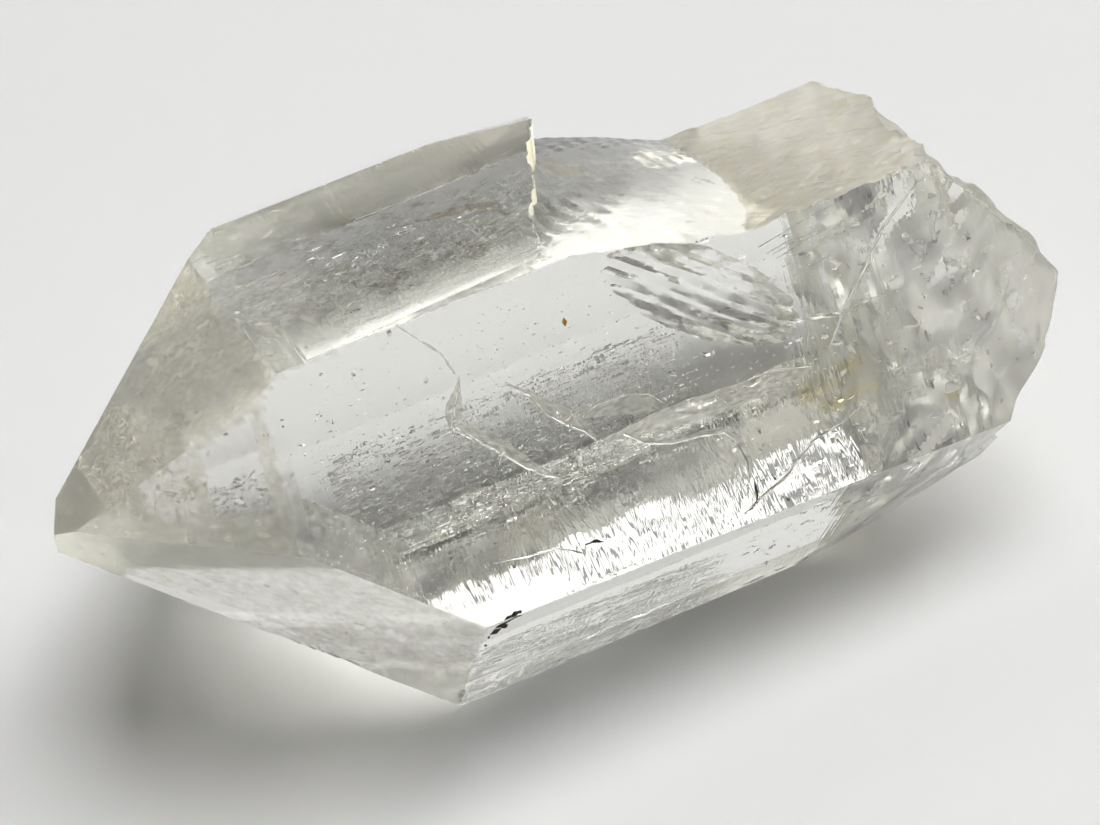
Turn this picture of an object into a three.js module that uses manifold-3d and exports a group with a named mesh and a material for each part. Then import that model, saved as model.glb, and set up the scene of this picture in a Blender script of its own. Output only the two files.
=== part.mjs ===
// Clear quartz crystal: one doubly oblique prism with a six-sided point, lying on a prism face.
//
// Millimetres, +Z up. The c axis of the crystal runs along X with the point toward -X, the
// broken root toward +X, and the lowest prism face flat on z = 0. The origin is the middle
// of the bounding box on the ground plane.

import * as THREE from 'three';
import { mergeVertices } from 'three/addons/utils/BufferGeometryUtils.js';
import Module from 'manifold-3d';

// ---------------------------------------------------------------- driving dimensions

// Quartz habit. A prism face is named m, a face of the point r or z. `azimuth` turns round
// the c axis from the top face toward -Y, `lean` tips the normal toward the point, and
// `distance` is measured from AXIS_POINT, a point inside the crystal.
const AXIS_POINT = [0, 0, 14.217];
const FACES = [
  { name: 'm_top', azimuth: 0.0, lean: 1.0, distance: 21.53 },
  { name: 'm_front', azimuth: 60.96, lean: -1.76, distance: 17.5 },
  { name: 'm_front_low', azimuth: 119.3, lean: 1.2, distance: 16.77 },
  { name: 'm_base', azimuth: 180.0, lean: 0.0, distance: 14.217 },
  { name: 'm_back_low', azimuth: 240.0, lean: 0.0, distance: 20.5 },
  { name: 'm_back', azimuth: 300.0, lean: 0.35, distance: 18.14 },
  { name: 'r_top', azimuth: 0.0, lean: 37.03, distance: 31.26 },
  { name: 'z_front', azimuth: 57.69, lean: 37.66, distance: 30.32 },
  { name: 'r_front_low', azimuth: 120.09, lean: 38.14, distance: 22.38 },
  { name: 'z_base', azimuth: 180.24, lean: 39.58, distance: 20.23 },
  { name: 'r_back_low', azimuth: 240.0, lean: 38.2, distance: 29.5 },
  { name: 'z_back', azimuth: 301.18, lean: 36.58, distance: 27.24 },
  { name: 'tip_bruise', azimuth: 285.5, lean: 64.2, distance: 35.85 },
];

// Root break: where the rough end stands along X at each height on the front side.
const ROOT_PROFILE = [
  [-3, 13.0], [0, 15.5], [2.1, 18.9], [5.0, 23.4], [8.2, 27.2], [12.9, 28.6], [14.7, 30.0],
  [16.2, 32.3], [20.2, 35.2], [21.2, 35.7], [24.5, 34.3], [27.5, 32.2], [30.5, 29.9],
  [31.9, 28.4], [36, 24.5], [40, 21.0],
];
const ROOT_SKEW = -0.07; // shift of the break per millimetre toward +Y
const ROOT_LUMP = 1.5; // how far the break stands out below the long slope, toward the back
const ROOT_FOOT = 9.5; // how much farther the resting face runs behind its front edge

// Shoulder break: the top edge is gone between a step across the top face and the root.
const STEP_FOOT = [-3.3, -7.9]; // where the step meets the front edge, in X and Y
const STEP_RUN = [7.4, 15.1]; // direction of the step across the top face
const SLOPE_A = { z0: 34.25, dx: -0.36, dy: -0.055, dxy: -0.0135 }; // hollow next to the step
const SLOPE_B = { z0: 28.2, dx: 0.0, dy: -0.385, dxy: 0.0 }; // long slope up to the root

// Shell-shaped spall on the front face, just under the shoulder break.
const SPALL = { centre: [7.9, -11.3, 29.6], along: [0.80, -0.29, -0.53], half: [8.6, 3.4], depth: 1.15 };

// ---------------------------------------------------------------- small helpers

const deg = Math.PI / 180;

const faceNormal = ({ azimuth, lean }) => new THREE.Vector3(
  -Math.sin(lean * deg),
  -Math.cos(lean * deg) * Math.sin(azimuth * deg),
  Math.cos(lean * deg) * Math.cos(azimuth * deg),
);

// Smooth repeatable unevenness, built from a few crossed waves, about -1 to 1.
const wave = (u, v, s) =>
  (Math.sin(u * 0.83 * s + 1.3) * Math.cos(v * 0.71 * s - 0.4)
    + 0.55 * Math.sin(u * 1.9 * s - v * 1.1 * s + 0.7)
    + 0.35 * Math.cos(u * 2.7 * s + v * 3.1 * s + 2.1)) / 1.9;

// Linear interpolation in a table of [key, value].
const lookUp = (table, key) => {
  if (key <= table[0][0]) return table[0][1];
  for (let i = 1; i < table.length; i += 1) {
    const [k0, v0] = table[i - 1];
    const [k1, v1] = table[i];
    if (key <= k1) return v0 + (v1 - v0) * (key - k0) / (k1 - k0);
  }
  return table[table.length - 1][1];
};

// Triangle soup -> indexed closed geometry.
const closed = (triangles) => {
  const geometry = new THREE.BufferGeometry();
  geometry.setAttribute('position', new THREE.Float32BufferAttribute(triangles.flatMap((p) => [p.x, p.y, p.z]), 3));
  return mergeVertices(geometry, 1e-4);
};

// ---------------------------------------------------------------- the crystal form

// Convex body bounded by the planes of FACES: every corner is where three planes meet.
function crystalForm() {
  const centre = new THREE.Vector3(...AXIS_POINT);
  const planes = FACES.map((face) => {
    const normal = faceNormal(face);
    return { normal, constant: face.distance + normal.dot(centre) };
  });
  planes.push({ normal: new THREE.Vector3(1, 0, 0), constant: 46 }); // beyond the root break

  const inside = (p) => planes.every(({ normal, constant }) => normal.dot(p) <= constant + 1e-6);
  const triangles = [];
  planes.forEach((a, i) => {
    const corners = [];
    planes.forEach((b, j) => planes.forEach((c, k) => {
      if (j === i || k === i || k <= j) return;
      const bc = new THREE.Vector3().crossVectors(b.normal, c.normal);
      const det = a.normal.dot(bc);
      if (Math.abs(det) < 1e-9) return;
      const p = bc.multiplyScalar(a.constant)
        .add(new THREE.Vector3().crossVectors(c.normal, a.normal).multiplyScalar(b.constant))
        .add(new THREE.Vector3().crossVectors(a.normal, b.normal).multiplyScalar(c.constant))
        .divideScalar(det);
      if (inside(p) && !corners.some((q) => q.distanceTo(p) < 1e-5)) corners.push(p);
    }));
    if (corners.length < 3) return;
    // corners in turn round the face, counter-clockwise seen from outside
    const middle = corners.reduce((s, p) => s.add(p), new THREE.Vector3()).divideScalar(corners.length);
    const u = corners[0].clone().sub(middle).normalize();
    const v = new THREE.Vector3().crossVectors(a.normal, u);
    const turn = (p) => Math.atan2(p.clone().sub(middle).dot(v), p.clone().sub(middle).dot(u));
    corners.sort((p, q) => turn(p) - turn(q));
    for (let n = 1; n < corners.length - 1; n += 1) triangles.push(corners[0], corners[n], corners[n + 1]);
  });
  return closed(triangles);
}

// Closed block between a surface grid and a flat far side. `surface(i, j)` gives the break
// surface and `far(i, j)` the matching point beyond the crystal.
function breakBlock(columns, rows, surface, far) {
  const near = [];
  const away = [];
  for (let i = 0; i <= columns; i += 1) {
    near.push([]);
    away.push([]);
    for (let j = 0; j <= rows; j += 1) {
      near[i].push(surface(i / columns, j / rows));
      away[i].push(far(i / columns, j / rows));
    }
  }
  const triangles = [];
  const quad = (a, b, c, d) => triangles.push(a, b, c, a, c, d);
  for (let i = 0; i < columns; i += 1) {
    for (let j = 0; j < rows; j += 1) {
      quad(near[i][j], near[i][j + 1], near[i + 1][j + 1], near[i + 1][j]);
      quad(away[i][j], away[i + 1][j], away[i + 1][j + 1], away[i][j + 1]);
    }
  }
  for (let i = 0; i < columns; i += 1) {
    quad(near[i][0], near[i + 1][0], away[i + 1][0], away[i][0]);
    quad(near[i + 1][rows], near[i][rows], away[i][rows], away[i + 1][rows]);
  }
  for (let j = 0; j < rows; j += 1) {
    quad(near[0][j + 1], near[0][j], away[0][j], away[0][j + 1]);
    quad(near[columns][j], near[columns][j + 1], away[columns][j + 1], away[columns][j]);
  }
  return closed(triangles);
}

// The rough root: uneven, blocky, highest in the middle of the front side.
const rootBreak = () => {
  const y = (s) => -34 + 68 * s;
  const z = (t) => -6 + 52 * t;
  const rough = (a, b) => 0.55 * wave(a, b, 0.42) + 0.28 * Math.round(1.6 * wave(b, a, 0.9));
  const clip = (v) => Math.min(Math.max(v, 0), 1);
  const lump = (a, b) => ROOT_LUMP * Math.exp(-(((b - 25.5) / 2.6) ** 2)) * clip((a + 4) / 8);
  const foot = (a, b) => ROOT_FOOT * clip((a + 9) / 9) * clip(1 - b / 8.2);
  return breakBlock(
    26, 24,
    (s, t) => new THREE.Vector3(
      lookUp(ROOT_PROFILE, z(t)) + ROOT_SKEW * (y(s) + 12)
        + lump(y(s), z(t)) + foot(y(s), z(t)) + rough(y(s), z(t)), y(s), z(t)),
    (s, t) => new THREE.Vector3(70, y(s), z(t)),
  );
};

// The shoulder: a step down from the top face, a hollow, then the long slope to the root.
const shoulderBreak = () => {
  const run = new THREE.Vector2(...STEP_RUN).normalize();
  const across = new THREE.Vector2(run.y, -run.x);
  const place = (s, t) => {
    const along = -30 + 78 * t;
    const out = 56 * s ** 1.25 + (s === 0 ? 0.25 * Math.sin(along * 0.9) : 0);
    return [STEP_FOOT[0] + along * run.x + out * across.x, STEP_FOOT[1] + along * run.y + out * across.y];
  };
  const height = ({ z0, dx, dy, dxy }, x, y) => z0 + dx * x + dy * y + dxy * x * y;
  return breakBlock(
    24, 26,
    (s, t) => {
      const [x, y] = place(s, t);
      const z = Math.max(
        height(SLOPE_A, x, y) + 0.12 * wave(x, y, 0.8),
        height(SLOPE_B, x, y) + 0.3 * wave(x, y, 0.3),
      );
      return new THREE.Vector3(x, y, z);
    },
    (s, t) => {
      const [x, y] = place(s, t);
      return new THREE.Vector3(x, y, 80);
    },
  );
};

// The spall: a shallow bowl pressed into the front face.
const spall = (outward) => {
  const along = new THREE.Vector3(...SPALL.along);
  along.addScaledVector(outward, -along.dot(outward)).normalize();
  const across = new THREE.Vector3().crossVectors(outward, along);
  const centre = new THREE.Vector3(...SPALL.centre);
  const [a, b] = SPALL.half;
  const point = (s, t, lift) => centre.clone()
    .addScaledVector(along, (2 * s - 1) * a * 1.35)
    .addScaledVector(across, (2 * t - 1) * b * 1.35)
    .addScaledVector(outward, lift);
  return breakBlock(
    16, 10,
    (s, t) => {
      const r = (1.35 * (2 * s - 1)) ** 2 + (1.35 * (2 * t - 1)) ** 2;
      return point(s, t, SPALL.depth * (r - 1) + 0.1 * wave(s * 9, t * 7, 1));
    },
    (s, t) => point(s, t, 8),
  );
};

// ---------------------------------------------------------------- cut and assemble

const wasm = await Module();
wasm.setup();

const toSolid = (geometry) => {
  const indexed = mergeVertices(geometry, 1e-4);
  return new wasm.Manifold(new wasm.Mesh({
    numProp: 3,
    vertProperties: new Float32Array(indexed.attributes.position.array),
    triVerts: new Uint32Array(indexed.index.array),
  }));
};

const frontNormal = faceNormal(FACES.find(({ name }) => name === 'm_front'));
const solid = toSolid(crystalForm())
  .subtract(toSolid(rootBreak()))
  .subtract(toSolid(shoulderBreak()))
  .subtract(toSolid(spall(frontNormal)));

const { vertProperties, triVerts } = solid.getMesh();
const geometry = new THREE.BufferGeometry();
geometry.setAttribute('position', new THREE.BufferAttribute(vertProperties, 3));
geometry.setIndex(new THREE.BufferAttribute(triVerts, 1));
geometry.computeBoundingBox();
const { min, max } = geometry.boundingBox;
geometry.translate(-(min.x + max.x) / 2, -(min.y + max.y) / 2, -min.z);
geometry.computeVertexNormals();

const crystal = new THREE.Mesh(
  geometry,
  new THREE.MeshStandardMaterial({ color: 0xe9eae6, roughness: 0.04, metalness: 0 }),
);
crystal.name = 'quartz_crystal';

const model = new THREE.Group();
model.add(crystal);

export default model;
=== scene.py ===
"""Looks of the clear quartz crystal: the detailed crystal, what is sealed in it, and the studio.

Blender 4.5. Lengths are worked out in millimetres in the crystal's own modelling frame (c axis
along X, point toward -X, lowest prism face on z = 0) and placed in metres in the CAD frame.
"""
import math

import bmesh
import bpy
import numpy as np
from mathutils import Matrix, Vector


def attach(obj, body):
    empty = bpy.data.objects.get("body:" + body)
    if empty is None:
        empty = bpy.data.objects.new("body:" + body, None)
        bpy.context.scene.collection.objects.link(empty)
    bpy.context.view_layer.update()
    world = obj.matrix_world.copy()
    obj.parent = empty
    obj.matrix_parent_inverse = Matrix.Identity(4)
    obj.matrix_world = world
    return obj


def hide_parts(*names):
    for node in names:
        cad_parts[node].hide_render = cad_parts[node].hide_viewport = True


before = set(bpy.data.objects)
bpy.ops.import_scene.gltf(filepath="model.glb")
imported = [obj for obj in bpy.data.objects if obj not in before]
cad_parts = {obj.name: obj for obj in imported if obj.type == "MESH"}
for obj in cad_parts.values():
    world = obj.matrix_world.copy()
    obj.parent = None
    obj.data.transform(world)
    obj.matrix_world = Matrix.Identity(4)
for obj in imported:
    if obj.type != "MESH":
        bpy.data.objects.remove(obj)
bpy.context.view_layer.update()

# ------------------------------------------------------------------ driving dimensions (mm)

SHIFT = np.array([2.0030, -1.3400, 0.0])  # modelling frame -> CAD frame
AXIS_POINT = np.array([0.0, 0.0, 14.217])
FACES = {  # azimuth round the c axis, lean of the normal toward the point, distance
    "m_top": (0.0, 1.0, 21.53),
    "m_front": (60.96, -1.76, 17.5),
    "m_front_low": (119.3, 1.2, 16.77),
    "m_base": (180.0, 0.0, 14.217),
    "m_back_low": (240.0, 0.0, 20.5),
    "m_back": (300.0, 0.35, 18.14),
    "r_top": (0.0, 37.03, 31.26),
    "z_front": (57.69, 37.66, 30.32),
    "r_front_low": (120.09, 38.14, 22.38),
    "z_base": (180.24, 39.58, 20.23),
    "r_back_low": (240.0, 38.2, 29.5),
    "z_back": (301.18, 36.58, 27.24),
    "tip_bruise": (285.5, 64.2, 35.85),
}
ROOT_Z = [-3, 0, 2.1, 5.0, 8.2, 12.9, 14.7, 16.2, 20.2, 21.2, 24.5, 27.5, 30.5, 31.9, 36, 40]
ROOT_X = [13.0, 15.5, 18.9, 23.4, 27.2, 28.6, 30.0, 32.3, 35.2, 35.7, 34.3, 32.2, 29.9, 28.4, 24.5, 21.0]
ROOT_SKEW = -0.07
ROOT_LUMP = 1.5
ROOT_FOOT = 9.5
STEP_FOOT = np.array([-3.3, -7.9])
STEP_RUN = np.array([7.4, 15.1]) / math.hypot(7.4, 15.1)
STEP_ACROSS = np.array([STEP_RUN[1], -STEP_RUN[0]])
SPALL_CENTRE = np.array([7.9, -11.3, 29.6])
SPALL_ALONG = np.array([0.80, -0.29, -0.53])
SPALL_HALF = (8.6, 3.4)
SPALL_DEPTH = 1.15

# Camera, in the modelling frame: where it stands and its right, down and forward directions.
CAMERA_AT = np.array([-71.8595, -161.2040, 161.6939])
CAMERA_AXES = np.array([
    [0.878149, -0.470515, -0.086424],
    [-0.362270, -0.536072, -0.762488],
    [0.312433, 0.700887, -0.641205],
])
CAMERA_FOCAL = 3015.36  # in units of the 1100 x 825 frame

QUARTZ_IOR = 1.545

rng = np.random.default_rng(20)


def unit(v):
    v = np.asarray(v, float)
    return v / np.linalg.norm(v)


def normal_of(face):
    azimuth, lean, _ = FACES[face]
    a, l = math.radians(azimuth), math.radians(lean)
    return np.array([-math.sin(l), -math.cos(l) * math.sin(a), math.cos(l) * math.cos(a)])


def constant_of(face):
    return FACES[face][2] + float(normal_of(face) @ AXIS_POINT)


PLANES = {name: (normal_of(name), constant_of(name)) for name in FACES}


def seen(px, py, face, depth):
    """Point under `face`, `depth` mm along the bent line of sight through frame point (px, py)."""
    d = unit((px - 550) / CAMERA_FOCAL * CAMERA_AXES[0] + (py - 412.5) / CAMERA_FOCAL * CAMERA_AXES[1]
             + CAMERA_AXES[2])
    n, k = PLANES[face]
    p = CAMERA_AT + d * ((k - n @ CAMERA_AT) / (n @ d))
    c = -(n @ d)
    eta = 1 / QUARTZ_IOR
    inner = eta * d + (eta * c - math.sqrt(1 - eta * eta * (1 - c * c))) * n
    return p + inner * depth


def wave(u, v, s):
    return (np.sin(u * 0.83 * s + 1.3) * np.cos(v * 0.71 * s - 0.4)
            + 0.55 * np.sin(u * 1.9 * s - v * 1.1 * s + 0.7)
            + 0.35 * np.cos(u * 2.7 * s + v * 3.1 * s + 2.1)) / 1.9


def cell_value(a, b, salt):
    """Repeatable number 0..1 for each whole-number cell (a, b)."""
    h = np.sin(a * 127.1 + b * 311.7 + salt * 74.7) * 43758.5453
    return h - np.floor(h)


def blocks(u, v, wide, tall, salt):
    """Rectangular cells of uneven size, each with its own level -1..1."""
    row = np.floor(v / tall + 0.35 * np.sin(u * 0.31 + salt))
    shift = cell_value(row, row * 0 + 7, salt) * wide
    column = np.floor((u + shift) / wide + 0.25 * np.sin(v * 0.4 + salt * 2))
    return 2 * cell_value(column, row, salt) - 1


def terraces(u, v, wide, tall, salt):
    """Like blocks, with every block also leaning its own way."""
    row = np.floor(v / tall + 0.35 * np.sin(u * 0.31 + salt))
    shift = cell_value(row, row * 0 + 7, salt) * wide
    column = np.floor((u + shift) / wide + 0.25 * np.sin(v * 0.4 + salt * 2))
    lean_u = cell_value(column, row, salt + 3) - 0.5
    lean_v = cell_value(column, row, salt + 5) - 0.5
    return (2 * cell_value(column, row, salt) - 1
            + 1.3 * lean_u * ((u + shift) / wide - column - 0.5) + 1.3 * lean_v * (v / tall - row - 0.5))


# ------------------------------------------------------------------ closed meshes in mm

KINDS = ["growth", "root", "shoulder", "spall", "chip", "pit", "window", "crack", "speck"]
scratch_material = bpy.data.materials.new("scratch")


def mesh_object(name, vertices, faces, kind="growth"):
    me = bpy.data.meshes.new(name)
    me.from_pydata([tuple(map(float, v)) for v in vertices], [], [tuple(map(int, f)) for f in faces])
    for _ in KINDS:
        me.materials.append(scratch_material)
    me.polygons.foreach_set("material_index", [KINDS.index(kind)] * len(me.polygons))
    bm = bmesh.new()
    bm.from_mesh(me)
    bmesh.ops.remove_doubles(bm, verts=bm.verts, dist=1e-5)
    bmesh.ops.recalc_face_normals(bm, faces=bm.faces)
    bm.to_mesh(me)
    bm.free()
    ob = bpy.data.objects.new(name, me)
    bpy.context.scene.collection.objects.link(ob)
    return ob


def convex_body(planes):
    """Corners are where three planes meet; each plane gives one polygon."""
    planes = list(planes)
    inside = lambda p: all(n @ p <= d + 1e-6 for n, d in planes)
    vertices, faces = [], []
    for i, (na, da) in enumerate(planes):
        corners = []
        for j, (nb, db) in enumerate(planes):
            for k in range(j + 1, len(planes)):
                if i in (j, k):
                    continue
                nc, dc = planes[k]
                m = np.array([na, nb, nc])
                if abs(np.linalg.det(m)) < 1e-9:
                    continue
                p = np.linalg.solve(m, np.array([da, db, dc]))
                if inside(p) and not any(np.linalg.norm(p - q) < 1e-5 for q in corners):
                    corners.append(p)
        if len(corners) < 3:
            continue
        middle = np.mean(corners, 0)
        u = unit(corners[0] - middle)
        v = np.cross(na, u)
        corners.sort(key=lambda p: math.atan2((p - middle) @ v, (p - middle) @ u))
        faces.append(list(range(len(vertices), len(vertices) + len(corners))))
        vertices += corners
    return vertices, faces


def block_between(near, far):
    """Closed block between a surface grid and a matching far grid, both (n, m, 3)."""
    n, m = near.shape[:2]
    at = lambda side, i, j: side * n * m + i * m + j
    faces = []
    for i in range(n - 1):
        for j in range(m - 1):
            a, b, c, d = at(0, i, j), at(0, i, j + 1), at(0, i + 1, j + 1), at(0, i + 1, j)
            faces += [(a, b, c), (a, c, d)]
            a, b, c, d = at(1, i, j), at(1, i + 1, j), at(1, i + 1, j + 1), at(1, i, j + 1)
            faces += [(a, b, c), (a, c, d)]
    for i in range(n - 1):
        faces.append((at(0, i, 0), at(0, i + 1, 0), at(1, i + 1, 0), at(1, i, 0)))
        faces.append((at(0, i + 1, m - 1), at(0, i, m - 1), at(1, i, m - 1), at(1, i + 1, m - 1)))
    for j in range(m - 1):
        faces.append((at(0, 0, j + 1), at(0, 0, j), at(1, 0, j), at(1, 0, j + 1)))
        faces.append((at(0, n - 1, j), at(0, n - 1, j + 1), at(1, n - 1, j + 1), at(1, n - 1, j)))
    return np.concatenate([near.reshape(-1, 3), far.reshape(-1, 3)]), faces


def subtract(body, cutters):
    for cutter in cutters:
        mod = body.modifiers.new("cut", "BOOLEAN")
        mod.operation = "DIFFERENCE"
        mod.solver = "MANIFOLD"
        mod.object = cutter
    bm = bmesh.new()
    bm.from_mesh(body.data)
    bmesh.ops.triangulate(bm, faces=bm.faces)
    bm.to_mesh(body.data)
    bm.free()
    bpy.context.view_layer.update()
    me = bpy.data.meshes.new_from_object(body.evaluated_get(bpy.context.evaluated_depsgraph_get()))
    body.modifiers.clear()
    body.data = me
    for cutter in cutters:
        bpy.data.objects.remove(cutter)


class Shells:
    """Gathers closed shells: lists of vertices and faces with a kind for each face."""

    def __init__(self, inside=None):
        self.v, self.f, self.k, self.cover = [], [], [], []
        self.inside, self.left_out = inside, 0

    def add(self, vertices, faces, kind, cover=None):
        base = len(self.v)
        v = np.asarray(vertices, float)
        if self.inside is not None and not self.inside(v):
            self.left_out += 1
            return
        v = v - v.mean(0)
        volume = sum(float(np.dot(v[f[0]], np.cross(v[f[i]], v[f[i + 1]]))) for f in faces for i in range(1, len(f) - 1))
        if volume < 0:
            faces = [tuple(reversed(f)) for f in faces]
        self.v += [tuple(map(float, v)) for v in vertices]
        self.cover += [1.0] * len(vertices) if cover is None else list(map(float, cover))
        self.f += [tuple(base + int(i) for i in f) for f in faces]
        self.k += [KINDS.index(kind)] * len(faces)

    def sheet(self, grid, thick, kind="crack", cover=None):
        """Thin closed shell along a grid of points (n, m, 3); its border pinches to nothing."""
        n, m = grid.shape[:2]
        gu = np.gradient(grid, axis=0)
        gv = np.gradient(grid, axis=1)
        nn = np.cross(gu, gv)
        nn /= np.maximum(np.linalg.norm(nn, axis=-1, keepdims=True), 1e-9)
        rim = np.ones((n, m))
        rim[0], rim[-1], rim[:, 0], rim[:, -1] = 0, 0, 0, 0
        half = (np.broadcast_to(thick, (n, m)) * rim * 0.5)[..., None]
        top = grid + nn * half
        low = grid - nn * half
        vertices = list(top.reshape(-1, 3))
        cover = np.ones((n, m)) if cover is None else cover
        covers = list(cover.reshape(-1))
        index_low = np.arange(n * m).reshape(n, m).copy()
        for i in range(1, n - 1):
            for j in range(1, m - 1):
                index_low[i, j] = len(vertices)
                vertices.append(low[i, j])
                covers.append(cover[i, j])
        faces = []
        for i in range(n - 1):
            for j in range(m - 1):
                a, b, c, d = i * m + j, i * m + j + 1, (i + 1) * m + j + 1, (i + 1) * m + j
                faces += [(a, b, c), (a, c, d)]
                a, b, c, d = index_low[i, j], index_low[i, j + 1], index_low[i + 1, j + 1], index_low[i + 1, j]
                faces += [(a, c, b), (a, d, c)]
        # corner cells have all their points on the rim, where top and bottom are one
        flat = [tuple(sorted(f)) for f in faces]
        keep = [f for f, s in zip(faces, flat) if flat.count(s) == 1] if n * m < 400 else [
            f for f in faces if not all(q < n * m and (q // m in (0, n - 1) or q % m in (0, m - 1)) for q in f)]
        self.add(vertices, keep, kind, covers)

    def lens(self, centre, normal, along, ra, rb, thick, sides=7, kind="speck"):
        """Flat closed disc with a ridge in the middle of each side."""
        normal = unit(normal)
        a = unit(along - normal * (along @ normal))
        b = np.cross(normal, a)
        turn = rng.uniform(0, 2 * math.pi)
        ring = []
        for i in range(sides):
            t = turn + 2 * math.pi * i / sides
            r = rng.uniform(0.72, 1.12)
            ring.append(centre + a * (ra * r * math.cos(t)) + b * (rb * r * math.sin(t)))
        vertices = ring + [centre + normal * thick / 2, centre - normal * thick / 2]
        faces = []
        for i in range(sides):
            j = (i + 1) % sides
            faces += [(i, j, sides), (j, i, sides + 1)]
        self.add(vertices, faces, kind)

    def grain(self, centre, axes, kind="speck"):
        """Eight-sided grain; `axes` are its three half-axes as vectors."""
        vertices = [centre + s * a for a in axes for s in (1, -1)]
        faces = [(0, 2, 4), (2, 1, 4), (1, 3, 4), (3, 0, 4), (2, 0, 5), (1, 2, 5), (3, 1, 5), (0, 3, 5)]
        self.add(vertices, faces, kind)

    def to_bmesh(self, bm, inward):
        """Adds the shells to a bmesh, facing out, or facing in as voids of the crystal."""
        me = bpy.data.meshes.new("shells")
        me.from_pydata(self.v, [], self.f)
        for _ in KINDS:
            me.materials.append(scratch_material)
        me.polygons.foreach_set("material_index", self.k)
        own = bmesh.new()
        own.from_mesh(me)
        if inward:
            bmesh.ops.reverse_faces(own, faces=own.faces)
        own.to_mesh(me)
        own.free()
        bm.from_mesh(me)
        bpy.data.meshes.remove(me)


def random_unit():
    v = rng.normal(size=3)
    return v / np.linalg.norm(v)


# ------------------------------------------------------------------ the breaks

def root_x(y, z):
    """Where the broken end stands along X, without its relief."""
    lump = ROOT_LUMP * np.exp(-((z - 25.5) / 2.6) ** 2) * np.clip((y + 4) / 8, 0, 1)
    foot = ROOT_FOOT * np.clip((y + 9) / 9, 0, 1) * np.clip(1 - z / 8.2, 0, 1)
    return np.interp(z, ROOT_Z, ROOT_X) + ROOT_SKEW * (y + 12) + lump + foot


def root_relief(y, z):
    """Blocky unevenness of the broken end."""
    return (0.45 * wave(y, z, 0.42) + 0.58 * terraces(y, z, 5.8, 4.2, 1) + 0.22 * terraces(y, z, 2.7, 1.9, 2)
            + 0.06 * terraces(y, z, 1.2, 1.0, 3) + 0.03 * wave(y, z, 2.3))


def root_cutter():
    z, y = np.meshgrid(np.arange(-6, 46.01, 0.42), np.arange(-26, 30.01, 0.42))
    relief = sum(root_relief(y + i, z + j) for i in (-.22, .22) for j in (-.22, .22)) / 4
    near = np.stack([root_x(y, z) + relief - 0.10, y, z], -1)
    far = near.copy()
    far[..., 0] = 70
    return mesh_object("root_cutter", *block_between(near, far), kind="root")


def slope_a(x, y):
    return 34.25 - 0.36 * x - 0.055 * y - 0.0135 * x * y


def slope_b(x, y):
    return 28.2 - 0.385 * y


def shoulder_cutter():
    out1 = np.concatenate([[0, 0.12, 0.3, 0.6], np.arange(0.95, 46, 0.40), [50, 56]])
    along1 = np.concatenate([[-30, -20, -12, -6], np.arange(-3, 32, 0.36), [36, 42, 48]])
    out, along = np.meshgrid(out1, along1, indexing="ij")
    wob = 0.22 * np.sin(along * 0.9) + 0.10 * np.sin(along * 3.1 + 1) + 0.06 * np.sin(along * 7.3)
    out = out + np.exp(-out / 0.8) * wob
    x = STEP_FOOT[0] + along * STEP_RUN[0] + out * STEP_ACROSS[0]
    y = STEP_FOOT[1] + along * STEP_RUN[1] + out * STEP_ACROSS[1]
    # hackle lines of the hollow run across the crystal, toward its front
    saw = lambda q: np.abs((q % 1) - 0.5)
    lane = x + 0.05 * y + 0.25 * np.sin(y * 0.30 + 0.5)
    hackle = (0.20 * saw(lane * 0.62) + 0.13 * saw(lane * 1.43 + 0.3) * (0.6 + 0.4 * np.sin(y * 0.7))
              + 0.06 * saw(lane * 3.1 + 0.1))
    a = slope_a(x, y) + 0.10 * wave(x, y, 0.7) + hackle
    streak = y * 0.35 + x * 0.94
    rough = (0.16 * saw(streak * 0.9 + 0.4 * np.sin(y * 0.8)) + 0.20 * wave(x, y, 1.1)
             + 0.10 * wave(y, x, 2.6) + 0.08 * terraces(x, y, 2.3, 2.9, 5))
    b = slope_b(x, y) + 0.3 * wave(x, y, 0.3) + rough
    z = np.maximum(a, b)
    near = np.stack([x, y, z], -1)
    far = near.copy()
    far[..., 2] = 80
    return mesh_object("shoulder_cutter", *block_between(near, far), kind="shoulder")


def spall_cutter():
    outward = normal_of("m_front")
    along = unit(SPALL_ALONG - outward * (SPALL_ALONG @ outward))
    across = np.cross(outward, along)
    s, t = np.meshgrid(np.linspace(-1.35, 1.35, 72), np.linspace(-1.35, 1.35, 44), indexing="ij")
    r = s ** 2 + t ** 2
    band = (t * 3.3 + 0.25 * np.sin(s * 2.2) + 0.15 * s) % 1
    steps = 0.15 * np.where(band < 0.32, band / 0.32, (1 - band) / 0.68) + 0.03 * terraces(s * 9, t * 6, 1.1, 0.7, 9)
    lift = SPALL_DEPTH * (r - 1) + 0.06 * wave(s * 9, t * 7, 1) + steps
    near = (SPALL_CENTRE + s[..., None] * SPALL_HALF[0] * along + t[..., None] * SPALL_HALF[1] * across
            + lift[..., None] * outward)
    far = near + outward * 8
    return mesh_object("spall_cutter", *block_between(near, far), kind="spall")


# ------------------------------------------------------------------ bruises and pits

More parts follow.
